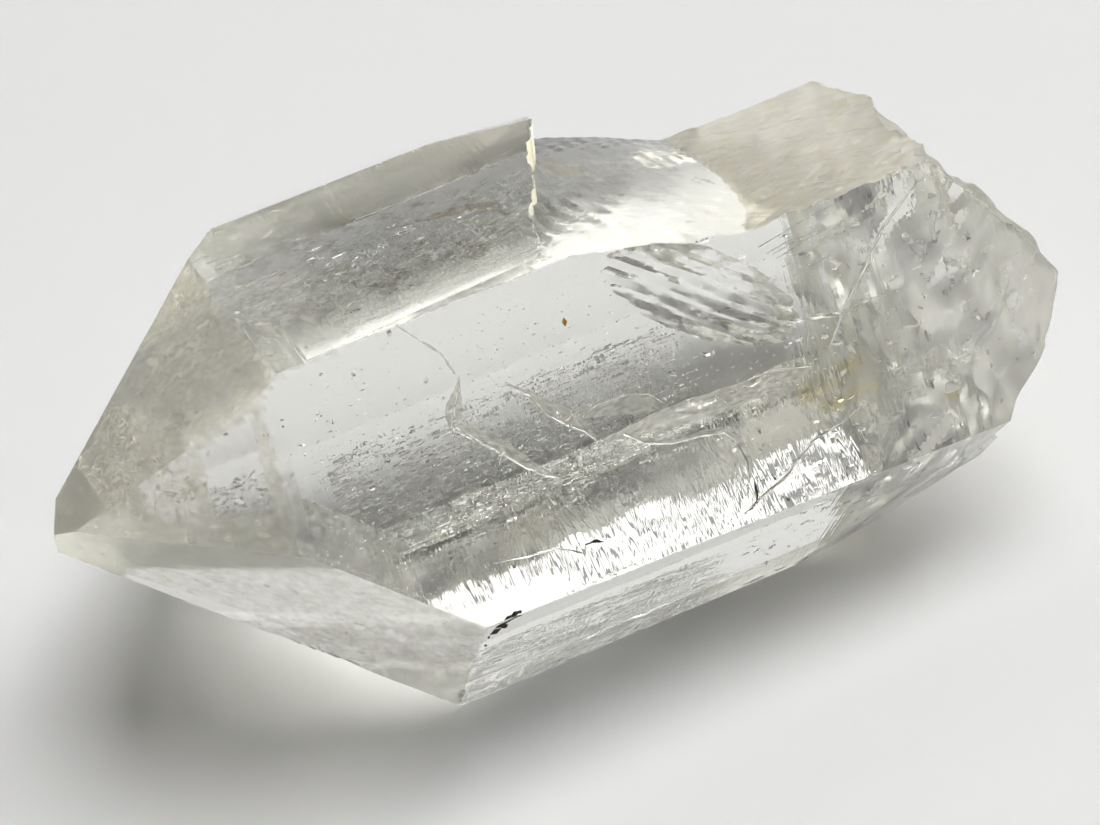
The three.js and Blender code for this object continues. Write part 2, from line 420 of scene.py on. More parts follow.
class Cutters:
    """Closed cutting bodies, sorted into groups in which no two touch."""

    def __init__(self):
        self.groups = []

    def add(self, vertices, faces, kind):
        v = np.asarray(vertices, float)
        middle = (v.max(0) + v.min(0)) / 2
        half = (v.max(0) - v.min(0)) / 2 + 0.01
        for shells, boxes in self.groups:
            if not any((np.abs(middle - m) < half + h).all() for m, h in boxes):
                break
        else:
            shells, boxes = Shells(), []
            self.groups.append((shells, boxes))
        shells.add(vertices, faces, kind)
        boxes.append((middle, half))

    def grain(self, centre, axes, kind):
        vertices = [centre + s * a for a in axes for s in (1, -1)]
        faces = [(0, 2, 4), (2, 1, 4), (1, 3, 4), (3, 0, 4), (2, 0, 5), (1, 2, 5), (3, 1, 5), (0, 3, 5)]
        self.add(vertices, faces, kind)

    def cut(self, body):
        for shells, boxes in self.groups:
            subtract(body, [mesh_from_shells("cutter", shells)])


def bruise_cutter(edges):
    """Small shell-shaped bruises along the sharp edges of the growth form."""
    ico = bmesh.new()
    bmesh.ops.create_icosphere(ico, subdivisions=1, radius=1.0)
    ball = np.array([v.co[:] for v in ico.verts])
    tris = [[v.index for v in f.verts] for f in ico.faces]
    ico.free()
    shells = Cutters()

    def chip(centre, outward, along, r):
        side = np.cross(outward, along)
        stretch = np.array([rng.uniform(1.0, 2.2), rng.uniform(0.7, 1.1), rng.uniform(0.7, 1.0)]) * r
        shape = ball * rng.uniform(0.82, 1.15, (len(ball), 1))
        bite = rng.uniform(0.18, 0.42) * r
        at = centre + outward * (stretch[2] - bite)
        pts = at + shape[:, :1] * stretch[0] * along + shape[:, 1:2] * stretch[1] * side \
            + shape[:, 2:] * stretch[2] * outward
        shells.add(pts, tris, "chip")

    for p, q, outward, rate, size in edges:
        length = np.linalg.norm(q - p)
        along = (q - p) / length
        for _ in range(rng.poisson(length * rate)):
            chip(p + along * rng.uniform(0, length), outward, along, size * rng.lognormal(0, 0.5))
    return shells


def mesh_from_shells(name, shells):
    bm = bmesh.new()
    shells.to_bmesh(bm, inward=False)
    me = bpy.data.meshes.new(name)
    bm.to_mesh(me)
    bm.free()
    for _ in KINDS:
        me.materials.append(scratch_material)
    ob = bpy.data.objects.new(name, me)
    bpy.context.scene.collection.objects.link(ob)
    return ob


def pit_cutter():
    """Short etched dashes that run along the c axis on the prism faces."""
    shells = Cutters()

    def pits(face, n, area, long_mm):
        normal, k = PLANES[face]
        along = unit(np.array([1.0, 0, 0]) - normal * normal[0])
        across = np.cross(normal, along)
        for _ in range(n):
            px, py = area()
            p = seen(px, py, face, 0.0)
            a = long_mm * rng.lognormal(0, 0.45)
            w = rng.uniform(0.028, 0.06)
            tilt = rng.normal(0, 0.06)
            shells.grain(p, [(along + across * tilt) * a, across * w, normal * rng.uniform(0.02, 0.05)], "pit")

    box = lambda x0, y0, x1, y1, slope: (lambda: (lambda u, v: (x0 + u * (x1 - x0), y0 + v * (y1 - y0) - slope * u * (x1 - x0)))(rng.random(), rng.random()))
    pits("m_front", 130, box(300, 420, 830, 590, 0.40), 0.11)
    pits("m_front", 110, box(310, 370, 640, 470, 0.40), 0.10)
    pits("m_front", 150, box(462, 455, 600, 520, 0.40), 0.14)
    pits("m_front", 60, box(600, 440, 860, 470, 0.40), 0.11)
    pits("m_top", 90, box(250, 290, 520, 320, 0.42), 0.09)
    pits("m_front_low", 40, box(520, 660, 840, 690, 0.42), 0.10)

    # the lower back edge is etched on both its faces
    for face, count in (("m_back_low", 330), ("m_base", 170)):
        normal, k = PLANES[face]
        along = unit(np.array([1.0, 0, 0]) - normal * normal[0])
        across = np.cross(normal, along)
        for _ in range(count):
            x = rng.uniform(-18, 14)
            if face == "m_back_low":
                z = 0.25 + 5.4 * rng.random()
                p = np.array([x, (k - normal[0] * x - normal[2] * z) / normal[1], z])
            else:
                p = np.array([x, rng.uniform(11.8, 15.2), 0.0])
            shells.grain(p, [along * rng.uniform(.1, .5), across * rng.uniform(.05, .12), normal * rng.uniform(.04, .09)], "pit")
    return shells


def bar(p, q, outward, wide, deep):
    """Narrow groove cutter from p to q."""
    along = unit(q - p)
    side = np.cross(outward, along)
    corners = []
    for end in (p, q):
        for s in (-1, 1):
            for h in (-deep, 1.0):
                corners.append(end + side * s * wide / 2 + outward * h)
    faces = [(0, 1, 3, 2), (4, 6, 7, 5), (0, 4, 5, 1), (2, 3, 7, 6), (0, 2, 6, 4), (1, 5, 7, 3)]
    return corners, faces


# ------------------------------------------------------------------ the crystal

def edge_point(f, g, x):
    """Point at `x` on the edge between faces f and g."""
    (nf, kf), (ng, kg) = PLANES[f], PLANES[g]
    return np.linalg.solve(np.array([nf, ng, [1.0, 0, 0]]), np.array([kf, kg, x]))


def worn(f, g, depth, weight=0.5):
    """Plane that takes `depth` mm off the edge between faces f and g."""
    (nf, kf), (ng, kg) = PLANES[f], PLANES[g]
    n = unit(nf * weight + ng * (1 - weight))
    on_edge = np.linalg.lstsq(np.array([nf, ng]), np.array([kf, kg]), rcond=None)[0]
    return n, float(n @ on_edge) - depth


def trimmed_corner():
    """The top back edge is worn down toward the step."""
    a, e = edge_point("m_top", "m_back", -3.5), edge_point("m_top", "m_back", 4.2)
    b = e + np.array([0.02, -1.7, 0.0])
    c = e + 1.7 * np.array([0.0, 0.5, -0.866])
    n = unit(np.cross(b - a, c - a))
    n = n if n[2] > 0 else -n
    return n, float(n @ a)


planes = list(PLANES.values()) + [
    (np.array([1.0, 0.0, 0.0]), 46.0),
    worn("m_front", "z_front", 0.20),
    worn("m_back_low", "m_back", 1.4, 0.73),
    worn("m_top", "r_top", 0.05),
    trimmed_corner(),
]
crystal = mesh_object("clear_quartz_crystal", *convex_body(planes))

edge_list = []
bm = bmesh.new()
bm.from_mesh(crystal.data)
bm.normal_update()
for e in bm.edges:
    p, q = (np.array(v.co[:]) for v in e.verts)
    if max(p[0], q[0]) > 45 and min(p[0], q[0]) > 45:
        continue
    outward = unit(sum(np.array(f.normal[:]) for f in e.link_faces))
    soft = (p[0] + q[0]) / 2 < -14 and (p[2] + q[2]) / 2 > 17
    edge_list.append((p, q, outward, 0.12 if soft else 0.45, 0.10 if soft else 0.20))
bm.free()
C_D = [seen(550, 600, "m_front", 0), seen(652, 558, "m_front", 0)]
D_low = [seen(560, 663, "m_front_low", 0), seen(840, 543, "m_front_low", 0)]
T_low = [seen(256, 628, "r_front_low", 0), seen(356, 664, "r_front_low", 0)]
edge_list.append((C_D[0], C_D[1], unit(normal_of("m_front") + normal_of("m_front_low")), 2.2, 0.36))
edge_list.append((D_low[0], D_low[1], unit(normal_of("m_base") + normal_of("m_front_low")), 1.0, 0.28))
edge_list.append((T_low[0], T_low[1], unit(normal_of("z_base") + normal_of("r_front_low")), 3.0, 0.42))

grooves = Cutters()
for x0, y0, x1, y1 in ((317, 188, 333, 216), (325, 186, 341, 213)):
    grooves.add(*bar(seen(x0, y0, "m_top", 0), seen(x1, y1, "m_top", 0), normal_of("m_top"), 0.16, 0.07), "chip")

subtract(crystal, [root_cutter(), shoulder_cutter(), spall_cutter()])
bruise_cutter(edge_list).cut(crystal)
pit_cutter().cut(crystal)
grooves.cut(crystal)
window = Cutters()
normal = normal_of("z_front")
ring = [seen(x, y, "z_front", 0) for x, y in ((250, 414), (198, 452), (217, 520), (274, 514))]
window.add([p - normal * 0.04 for p in ring] + [p + normal for p in ring],
           [(0, 1, 2, 3), (7, 6, 5, 4), (0, 4, 5, 1), (1, 5, 6, 2), (2, 6, 7, 3), (3, 7, 4, 0)], "window")
window.cut(crystal)

# ------------------------------------------------------------------ sealed cracks and veils

BODY = np.array([n for n, k in planes]), np.array([k for n, k in planes])


def within(v):
    """True when every point of `v` is inside the growth faces, the breaks kept clear."""
    x, y, z = v[:, 0], v[:, 1], v[:, 2]
    if (v @ BODY[0].T - BODY[1] > -0.04).any():
        return False
    root = root_x(y, z)
    out = (x - STEP_FOOT[0]) * STEP_ACROSS[0] + (y - STEP_FOOT[1]) * STEP_ACROSS[1]
    cut = (out > -0.4) & (z > np.maximum(slope_a(x, y), slope_b(x, y)) - 0.5)
    return not ((x > root - 1.5) | cut).any()


voids, films, glint_flakes, cloud, shade_veil = Shells(within), Shells(within), Shells(within), Shells(within), Shells(within)
brown, yellow, dark, rust = Shells(within), Shells(within), Shells(), Shells()


def ribbon(points, face, thick=0.04, columns=6, wavy=0.06, into=None, steps=4):
    """Crack surface: rows of (px, py, half width in px, nearer depth, farther depth)."""
    rows = []
    pts = np.array(points, float)
    t = np.arange(len(pts))
    fine = np.linspace(0, len(pts) - 1, (len(pts) - 1) * steps + 1)
    pts = np.stack([np.interp(fine, t, pts[:, i]) for i in range(5)], 1)
    d = np.gradient(pts[:, :2], axis=0)
    d /= np.linalg.norm(d, axis=1, keepdims=True)
    for (px, py, half, d0, d1), (dx, dy) in zip(pts, d):
        half = half * (1 + 0.12 * math.sin(px * 0.35) + 0.08 * math.sin(px * 0.9 + 1))
        a = seen(px + dy * half, py - dx * half, face, d0)
        b = seen(px - dy * half, py + dx * half, face, d1)
        rows.append([a + (b - a) * s for s in np.linspace(0, 1, columns)])
    grid = np.array(rows)
    n, m = grid.shape[:2]
    u, v = np.meshgrid(np.arange(n), np.arange(m), indexing="ij")
    gu = np.gradient(grid, axis=0)
    gv = np.gradient(grid, axis=1)
    nn = np.cross(gu, gv)
    nn /= np.maximum(np.linalg.norm(nn, axis=-1, keepdims=True), 1e-9)
    salt = rng.uniform(0, 9)
    grid = grid + nn * (wavy * wave(u * 1.3 + salt, v * 1.9 + salt, 1.0))[..., None]
    (voids if into is None else into).sheet(grid, thick * (0.7 + 0.3 * np.sin(u * 1.7 + v)), "crack")


def leaf(points, face, rim=1, columns=7, wavy=0.06, thick=0.03):
    """Healed crack: a milky film with a bright open rim along one side."""
    ribbon(points, face, thick, columns, wavy, into=films)
    ribbon([(x - rim * 0.2, y + rim * w, 0.55, d0 + 0.1, d0 + 0.5) for x, y, w, d0, d1 in points], face, .03, 3, 0.02)


# crack 1: fine line, leaf, then a band down to the right
ribbon([(395, 325, .8, .2, .5), (421, 341, 1.2, .2, .9), (441, 354, 1.4, .2, 1.2), (455, 374, 1.2, .2, 1.0)], "m_front", .04, 4, into=films)
leaf([(459, 375, .6, .3, .6), (457, 392, 4, .3, 1.6), (454, 408, 7.5, .3, 2.6), (452, 420, 6, .3, 2.4), (451, 430, 1.5, .3, 1.0)], "m_front", 1, 8)
leaf([(453, 424, 2, .3, .8), (472, 431, 5.5, .3, 2.0), (498, 444, 6.5, .3, 2.6), (523, 461, 5.5, .3, 2.2), (545, 473, 3, .3, 1.4), (559, 477, .8, .3, .6)],
     "m_front", 1, 8)
ribbon([(455, 432, .8, .3, .6), (474, 440, 1.0, .3, .9), (500, 453, 1.0, .3, .9), (526, 468, .8, .3, .8), (546, 475, .6, .3, .6)], "m_front", .04, 3)
# crack 2: short sparkling feather
leaf([(505, 383, .8, .3, .5), (530, 394, 2.5, .3, 1.4), (548, 408, 7, .3, 2.4), (566, 417, 8, .3, 2.8), (583, 426, 5, .3, 2.0), (597, 440, 1, .3, .8)],
     "m_front", 1, 8, wavy=.10)
for _ in range(26):
    x, y = rng.normal(560, 14), rng.normal(415, 6)
    voids.lens(seen(x, y, "m_front", rng.uniform(.3, 1.8)), random_unit(), random_unit(), rng.uniform(.12, .4), rng.uniform(.08, .2), .05, sides=5)
# crack 3: two overlapping scales
leaf([(576, 419, 1, .3, .8), (600, 410, 6, .3, 2.6), (625, 405, 10, .3, 3.6), (648, 403, 9, .3, 3.2), (668, 407, 1.5, .3, 1.0)], "m_front", -1, 9, wavy=.03)
leaf([(604, 441, 1, .3, .8), (640, 428, 8, .3, 3.4), (690, 411, 12, .3, 4.6), (735, 396, 11, .3, 4.6), (775, 380, 9, .3, 3.6), (812, 368, 2, .3, 1.2)],
     "m_front", -1, 10, wavy=.03)
# white leaf and its tail
leaf([(622, 433, .6, .2, .5), (645, 441, 2.6, .2, 1.2), (672, 441, 3.4, .2, 1.6), (700, 434, 2.6, .2, 1.2), (724, 430, 3, .2, 1.4), (738, 440, 3.4, .2, 1.6), (748, 458, 4, .2, 1.8), (750, 480, 1.6, .2, .8)],
     "m_front", 1, 6)
# dark branching crack
ribbon([(745, 514, .8, .2, .9), (759, 500, 1.4, .2, 1.6), (788, 474, 1.4, .2, 1.6), (799, 458, 1.4, .2, 1.6), (815, 439, 1.2, .2, 1.5), (842, 423, 1.0, .2, 1.2), (862, 405, .6, .2, .7)],
       "m_front", .06, 5, wavy=.12)
ribbon([(757, 504, .6, .2, .5), (757, 492, 1.4, .2, .9), (754, 480, .6, .2, .5)], "m_front", .06, 4, into=dark)
# straight cleavage lines near the root
leaf([(917, 181, 1, .2, .6), (882, 229, 2.2, .2, 2.0), (866, 264, 2.2, .2, 2.2), (848, 300, 1.8, .2, 2.0), (829, 349, .6, .2, .6)], "m_front", 1, 5, wavy=.02)
ribbon([(886, 186, .7, .2, .5), (877, 197, 1.4, .2, 1.2), (868, 208, .7, .2, .5)], "m_front", .05, 4, wavy=.02)
ribbon([(785, 322, .7, .2, .5), (815, 318, 1.6, .2, 1.4), (846, 312, 1.6, .2, 1.4), (866, 300, 1.2, .2, 1.2), (886, 293, .6, .2, .5)], "m_front", .05, 4, wavy=.1)
ribbon([(895, 331, .6, .2, .5), (906, 327, 1.4, .2, 1.2), (916, 326, 1.2, .2, 1.0), (924, 319, .6, .2, .5)], "m_front", .05, 4, wavy=.06)
# white rib below the shoulder
ribbon([(742, 388, .7, .2, .5), (752, 386, 1.2, .2, .9), (768, 374, .8, .2, .6)], "m_front", .05, 4)
# faint curved line low on the front face
ribbon([(492, 564, .5, .2, .5), (527, 557, 1.0, .2, 1.0), (556, 548, 1.0, .2, 1.0), (584, 553, .5, .2, .5)], "m_front", .04, 4)
ribbon([(585, 545, .5, .2, .4), (595, 541, 1.6, .2, .8), (604, 542, .5, .2, .4)], "m_front", .05, 4, into=dark)
# crack line under the top face, from the step toward the point
TOP_CRACK = [(333, 232), (359, 225), (386, 225), (410, 220), (427, 213), (447, 209), (459, 199), (471, 191), (493, 181), (529, 176)]
WIDE = [.6, 1.0, .9, 1.4, 2.2, 2.6, 3.0, 2.2, 1.4, .8]
ribbon([(x, y, w, .08, .2 + .25 * w) for (x, y), w in zip(TOP_CRACK, WIDE)], "m_top", .05, 5, wavy=.05)
ribbon([(x, y + 1.5 + w, .9 + w, .3, .9 + .5 * w) for (x, y), w in zip(TOP_CRACK, WIDE)], "m_top", .04, 5, wavy=.05, into=films)
ribbon([(415, 222, 1, .4, .8), (440, 215, 3, .4, 1.6), (466, 208, 4, .4, 2.0), (490, 206, 4, .4, 2.0), (510, 214, 1.5, .4, 1.0)], "m_top", .04, 5, wavy=.1, into=brown)
ribbon([(350, 221, .5, .1, .3), (400, 203, .8, .1, .5), (440, 187, .8, .1, .5), (466, 175, .5, .1, .3)], "m_top", .04, 4, wavy=.02, into=films)
# feather near the point
leaf([(219, 331, .6, .3, .6), (231, 320, 2.5, .3, 1.4), (246, 308, 4, .3, 2.2), (262, 306, 4, .3, 2.0), (279, 307, .8, .3, .6)], "m_top", 1, 7, wavy=.10)
# glassy streaks in the left end of the top face
for x0, y0, n in ((212, 268, 5), (220, 296, 6), (245, 265, 4), (266, 284, 5), (300, 262, 5), (330, 255, 4)):
    for _ in range(n):
        x, y, r = x0 + rng.normal(0, 12), y0 + rng.normal(0, 9), rng.uniform(.5, 1.2)
        ribbon([(x, y, .4, .4, .6), (x + 8 * r, y - 3.4 * r, 1.6 * r, .4, 1.2), (x + 17 * r, y - 7 * r, .4, .4, .6)], "m_top", .04, 4,
               wavy=.08, into=films if rng.random() < .7 else voids)

# white specks along the c axis, above the etched lower back edge
for _ in range(520):
    p = np.array([rng.uniform(-16, 12), 0, rng.uniform(1.0, 6.5)])
    n, k = PLANES["m_back_low"]
    p[1] = (k - n[2] * p[2]) / n[1] - 0.4 - rng.exponential(1.2)
    a = rng.uniform(.10, .45)
    voids.lens(p, unit(np.array([rng.normal(0, .25), 1, rng.normal(0, .6)])), np.array([1.0, 0, rng.normal(0, .2)]),
               a, a * rng.uniform(.25, .6), .05, sides=5)

# white flakes along the c axis above the etched edge: painted glints standing in for the specks' sparkle
for _ in range(1500):
    p = np.array([rng.uniform(-17, 13), 0, rng.uniform(0.8, 6.2)])
    n, k = PLANES["m_back_low"]
    p[1] = (k - n[2] * p[2]) / n[1] - 0.25 - rng.exponential(1.0)
    if cell_value(np.floor(p[0] / 2.4), np.floor(p[2] / 1.3), 4) < 0.35 and rng.random() < .75:
        continue
    a = rng.uniform(.10, .50) if rng.random() < .85 else rng.uniform(.5, .9)
    glint_flakes.lens(p, unit(np.array([rng.normal(0, .2), 1, rng.normal(0, .4)])), np.array([1.0, 0, rng.normal(0, .12)]),
                a, rng.uniform(.05, .13), .04, sides=5)

# cloud in the point, thinning out away from the tip
for _ in range(520):
    x = -38.5 + rng.exponential(9.0)
    if x > -10:
        continue
    p = np.array([x, rng.uniform(-16, 20), rng.uniform(2, 34)])
    if any(n @ p > k - 0.5 for n, k in planes):
        continue
    a = rng.uniform(.08, .36)
    voids.lens(p, random_unit(), random_unit(), a, a * rng.uniform(.4, 1), a * .25, sides=5)

def smooth(v, start, end):
    t = np.clip((v - start) / (end - start), 0, 1)
    return t * t * (3 - 2 * t)


def mottling(a, b, c):
    """Cloudy values of about 0..1."""
    return 0.5 + 0.28 * wave(a, b + c, 0.8) + 0.20 * wave(b * 1.3 + c, a - c, 2.1) + 0.14 * wave(a + b, c * 1.7, 5.3)


INSET = 0.45
SKIN_PLANES = [(n, k - INSET) for n, k in planes]
BACK_SLOPE = (unit([0, 0.385, 1.0]), 28.2 / math.hypot(0.385, 1.0))


def reach(centre, d, limits):
    """Distance from each centre to the nearest of the planes, along d."""
    far = np.full(d.shape[:-1], 90.0)
    for n, k in limits:
        rate = d @ n
        far = np.where(rate > 1e-4, np.minimum(far, (k - centre @ n) / np.maximum(rate, 1e-4)), far)
    return far


# milky skin under the faces of the point; the small window and the prism faces are clear
rows = np.linspace(-36.0, -12.0, 90)
ys, zs = np.meshgrid(np.linspace(-10, 10, 41), np.linspace(5, 25, 41))
middles = []
for at_row in rows:
    room = np.minimum.reduce([k - (n[0] * at_row + n[1] * ys + n[2] * zs) for n, k in SKIN_PLANES])
    best = np.unravel_index(np.argmax(room), room.shape)
    middles.append((ys[best], zs[best]))
middles = np.array(middles)
fit_y, fit_z = np.polyfit(rows, middles[:, 0], 2), np.polyfit(rows, middles[:, 1], 2)
x, turn = np.meshgrid(rows, np.radians(np.linspace(-80, 150, 150)), indexing="ij")
centre = np.stack([x, np.polyval(fit_y, x), np.polyval(fit_z, x)], -1)
d = np.stack([0 * turn, -np.sin(turn), np.cos(turn)], -1)
skin_at = centre + d * reach(centre, d, SKIN_PLANES)[..., None]
gap = {f: PLANES[f][1] - skin_at @ PLANES[f][0] for f in PLANES}
cloudy = mottling(skin_at[..., 0] * 1.2, skin_at[..., 1] * 1.2, skin_at[..., 2] * 1.2)
cover = 0.04 + 0.24 * cloudy + 0.07 * blocks(skin_at[..., 0] + skin_at[..., 2], skin_at[..., 1], 1.7, 1.3, 4) * (cloudy > 0.5)
cover = cover + np.where(gap["r_top"] < INSET + 0.05, 0.05, 0.0)
on_top = gap["m_top"] < INSET + 0.05
on_rhomb = np.minimum.reduce([gap[f] for f in ("r_top", "z_front", "z_back")]) < INSET + 0.05
on_low = gap["r_front_low"] < INSET + 0.05
cover = np.where(on_rhomb, cover, np.where(on_top, cover * (1 - smooth(skin_at[..., 0], -22.0, -13.0)), np.where(on_low, cover * 0.8, 0.0)))
corners = [seen(px, py, "z_front", INSET) for px, py in ((250, 414), (274, 514), (217, 520), (198, 452))]
n = normal_of("z_front")
side = [np.cross(b - a, skin_at - a) @ n for a, b in zip(corners, corners[1:] + corners[:1])]
in_window = np.minimum.reduce([q * np.sign(np.cross(corners[1] - corners[0], corners[2] - corners[0]) @ n) for q in side]) > 0
cover = np.where(in_window & (gap["z_front"] < INSET + 0.3), 0.03, cover)
cloud.sheet(skin_at, .02, cover=np.clip(cover, 0, 0.8))


def patch_under(face, corners, depth, cover_of, into, count=(50, 30), relief=0.15):
    """Sheet under a frame quad; `cover_of(u, v)` with u, v from 0 to 1 along its sides."""
    u, v = np.meshgrid(np.linspace(0, 1, count[0]), np.linspace(0, 1, count[1]), indexing="ij")
    a, b, c, d = (np.array(q, float) for q in corners)
    grid = np.zeros(u.shape + (3,))
    for i in np.ndindex(u.shape):
        q = (a * (1 - u[i]) + b * u[i]) * (1 - v[i]) + (d * (1 - u[i]) + c * u[i]) * v[i]
        grid[i] = seen(q[0], q[1], face, depth)
    grid = grid + (relief * wave(u * 14, v * 6, 1.0))[..., None] * normal_of(face)
    edge = smooth(u, 0, .15) * smooth(1 - u, 0, .15) * smooth(v, 0, .25) * smooth(1 - v, 0, .25)
    into.sheet(grid, .02, cover=np.clip(cover_of(u, v), 0, 1) * edge)


# dark mottled veil under the top face: painted shade standing in for the shadowed table seen through the crystal
patch_under("m_top", ((234, 292), (512, 204), (520, 246), (286, 346)), 1.0,
            lambda u, v: 0.60 * smooth(mottling(u * 30, v * 9, 0), .38, .72), shade_veil, (90, 34), .08)
patch_under("m_top", ((226, 266), (500, 168), (508, 198), (242, 292)), 0.6,
            lambda u, v: 0.40 * smooth(mottling(u * 34 + 4, v * 7, 2), .42, .75), shade_veil, (90, 26), .05)
# blocky healed layers before the root
patch_under("m_front", ((842, 236), (968, 200), (996, 322), (858, 372)), 2.4,
            lambda u, v: 0.42 * (blocks(u * 11, v * 11, 1.5, 1.1, 2) > 0.1) * (0.5 + 0.5 * blocks(u * 11, v * 11, 1.5, 1.1, 5)), cloud, (64, 56), .04)
patch_under("m_front", ((850, 372), (1000, 318), (978, 408), (852, 446)), 1.8,
            lambda u, v: 0.42 * (blocks(u * 12, v * 8, 1.5, 1.1, 3) > 0.2) * (0.5 + 0.5 * blocks(u * 12, v * 8, 1.5, 1.1, 6)), cloud, (64, 44), .04)
# dashes along the c axis in the same band, and fine specks under the big front face, as white flakes: painted glints
for _ in range(420):
    t, w = rng.random(), rng.normal(0, 1)
    px, py = 212 + t * 370 + rng.normal(0, 4), 300 - t * 88 + w * (15 + 10 * (1 - t))
    p = seen(px, py, "m_top", rng.uniform(.3, 2.5))
    glint_flakes.lens(p, unit(normal_of("m_top") + rng.normal(0, .25, 3)), np.array([1.0, rng.normal(0, .15), 0]), rng.uniform(.08, .42), rng.uniform(.04, .09), .03, sides=5)
for _ in range(620):
    px, py = rng.uniform(300, 900), 0
    py = 395 - (px - 285) * .41 + rng.random() ** .8 * 190
    p = seen(px, py, "m_front", rng.uniform(.12, .7))
    glint_flakes.lens(p, unit(normal_of("m_front") + rng.normal(0, .3, 3)), np.array([1.0, rng.normal(0, .2), 0]), rng.uniform(.05, .17), rng.uniform(.03, .06), .03, sides=5)
# white glints in the point, from voids and from white flakes painted as glints, and small feathers
for cx, cy, sx, sy, n in ((108, 455, 13, 17, 46), (165, 480, 22, 16, 36), (128, 440, 18, 12, 26), (200, 500, 22, 14, 20)):
    for _ in range(n):
        px, py = cx + rng.normal(0, sx), cy + rng.normal(0, sy)
        p = seen(px, py, "r_top" if py < 536 - (px - 52) * 0.769 else "z_front", rng.uniform(.8, 2.4))
        (voids if rng.random() < .45 else glint_flakes).lens(p, random_unit(), random_unit(), rng.uniform(.15, .75), rng.uniform(.08, .35), .04, sides=5)
for x0, y0, dx, dy, w in ((92, 470, 16, -22, 3), (110, 448, 20, -12, 3.5), (150, 462, 24, 12, 3), (160, 490, 26, 8, 3), (120, 492, -10, 22, 2.5), (186, 476, 18, 20, 3), (214, 560, 30, -14, 2)):
    ribbon([(x0, y0, .5, 1.0, 1.2), (x0 + dx * .4, y0 + dy * .5, w, .8, 2.0), (x0 + dx * .8, y0 + dy * .7, w * .7, .8, 1.8), (x0 + dx, y0 + dy, .4, 1.0, 1.2)],
           "r_top" if y0 < 530 - (x0 - 52) * 0.769 else "z_front", .03, 5, wavy=.12, into=films)
# fan of streaks below the back slope
for i in range(9):
    t = (i + rng.random()) / 9
    x0, y0 = 733 + 62 * t, 243 + 34 * t - rng.uniform(0, 14)
    r = rng.uniform(.5, 1.1)
    ribbon([(x0, y0, .4, .3, .6), (x0 + 36 * r, y0 - 22 * r, rng.uniform(.4, .9), .3, .8), (x0 + 76 * r, y0 - 44 * r, .4, .3, .6)],
           "m_front", .03, 4, wavy=.04)

# glittering flat voids behind the root
for _ in range(420):
    y, z = rng.uniform(-18, 20), rng.uniform(3, 33)
    x = float(np.interp(z, ROOT_Z, ROOT_X)) + ROOT_SKEW * (y + 12) - 3.2 - rng.exponential(3.0)
    p = np.array([x, y, z])
    if any(n @ p > k - 1.1 for n, k in planes) or z > slope_b(x, y) - 1.4:
        continue
    a = rng.uniform(.15, .8)
    n = [unit([1, .1, .1]), unit([0, .87, .5]), unit([0, -.87, .5]), unit([0, 0, 1])][rng.integers(4)]
    voids.lens(p, n + rng.normal(0, .06, 3), random_unit(), a, a * rng.uniform(.3, .8), .05, sides=4)

# iron stains, the black inclusion and its feather, specks
for quad, salt in ((((786, 388), (868, 345), (880, 368), (800, 412)), 1), (((812, 404), (880, 372), (886, 386), (822, 420)), 2),
                   (((938, 394), (958, 386), (962, 396), (944, 404)), 3)):
    patch_under("m_front", quad, 3.6, lambda u, v: 0.35 + 0.5 * blocks(u * 6, v * 2, 1.3, .7, salt) + 0.6 * mottling(u * 9, v * 3, salt), yellow, (40, 18))
ribbon([(336, 222, 1, .3, .5), (342, 219, 3, .3, 1.0), (349, 216, 1, .3, .5)], "m_top", .04, 4, wavy=.05, into=yellow)
for x, y, d, a, b in ((503, 625, .5, .55, .20), (509, 619, .6, .50, .22), (515, 614, .6, .42, .18), (497, 632, .5, .42, .16), (520, 612, .7, .20, .12),
                      (507, 627, .8, .30, .14), (487, 646, .5, .14, .08), (490, 638, .5, .16, .08)):
    p = seen(x, y, "m_front", d + .15)
    q = unit(seen(x + 10, y - 6, "m_front", d) - p)
    side = unit(np.cross(q, normal_of("m_front")))
    dark.grain(p, [q * a * rng.uniform(.85, 1.3), side * b * 1.2, normal_of("m_front") * .2], "speck")
leaf([(470, 625, .5, .3, .5), (474, 641, 1.6, .3, 1.0), (487, 650, 3.5, .3, 1.6), (500, 640, 3.0, .3, 1.4), (521, 610, .8, .3, .6)], "m_front", 1, 6, wavy=.06)
p = seen(564.5, 322, "m_front", 0.35)
q = unit(seen(566, 330, "m_front", 0.35) - p)
rust.grain(p, [q * .34, unit(np.cross(q, normal_of("m_front"))) * .21, normal_of("m_front") * .16], "speck")
for x, y, face in ((354, 220, "m_top"), (422, 452, "m_front")):
    p = seen(x, y, face, 0.2)
    dark.grain(p, [np.array([.12, 0, 0]), np.array([0, .12, 0]), np.array([0, 0, .1])], "speck")

# ------------------------------------------------------------------ finish the mesh

bm = bmesh.new()
bm.from_mesh(crystal.data)
bmesh.ops.triangulate(bm, faces=bm.faces)
voids.to_bmesh(bm, inward=True)
bm.to_mesh(crystal.data)
bm.free()

